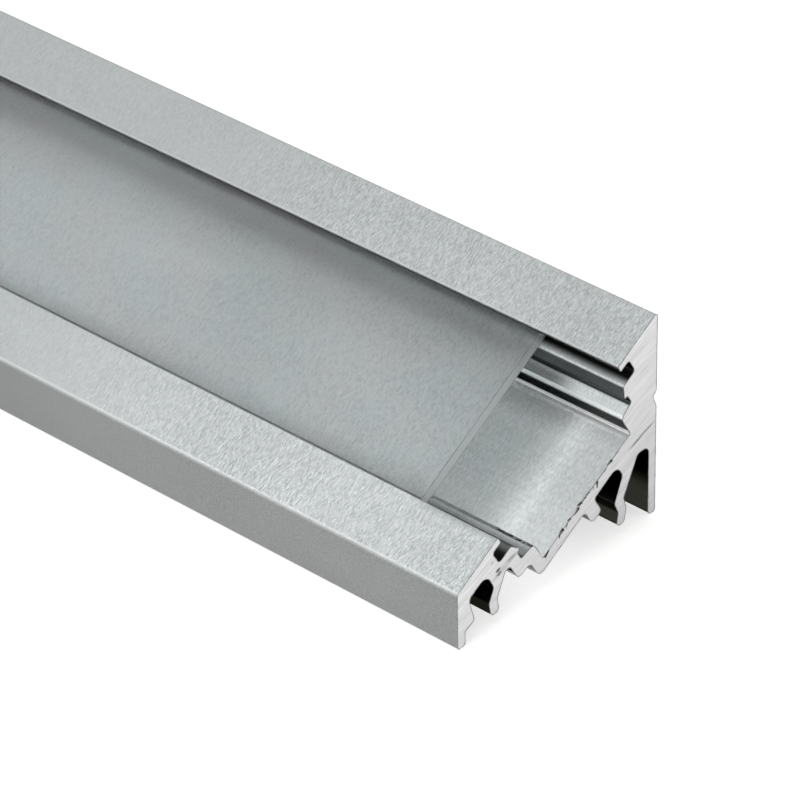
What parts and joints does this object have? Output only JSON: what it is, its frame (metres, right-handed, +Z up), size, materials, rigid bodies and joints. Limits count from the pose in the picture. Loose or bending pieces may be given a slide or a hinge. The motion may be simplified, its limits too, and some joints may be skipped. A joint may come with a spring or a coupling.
{
  "type": "corner led strip profile",
  "caption": "Straight corner channel of extruded aluminium with a 30 degree lit face, snap legs below, and a flat frosted diffuser slid into its grooves.",
  "frame": {"origin": "middle of the footprint, on the base plane that the ends of both outer walls stand on", "axes": "+Z up, +Y along the bar from the sawn near end to the far end, +X towards the tall outer wall"},
  "size_m": [0.0198, 1, 0.0158],
  "materials": {
    "channel_profile": "satin, clear anodised, raw metal on the sawn ends",
    "diffuser_cover": "frosted"
  },
  "bodies": {
    "root": {"channel_profile": "channel_profile", "diffuser_cover": "diffuser_cover"}
  },
  "joints": []
}
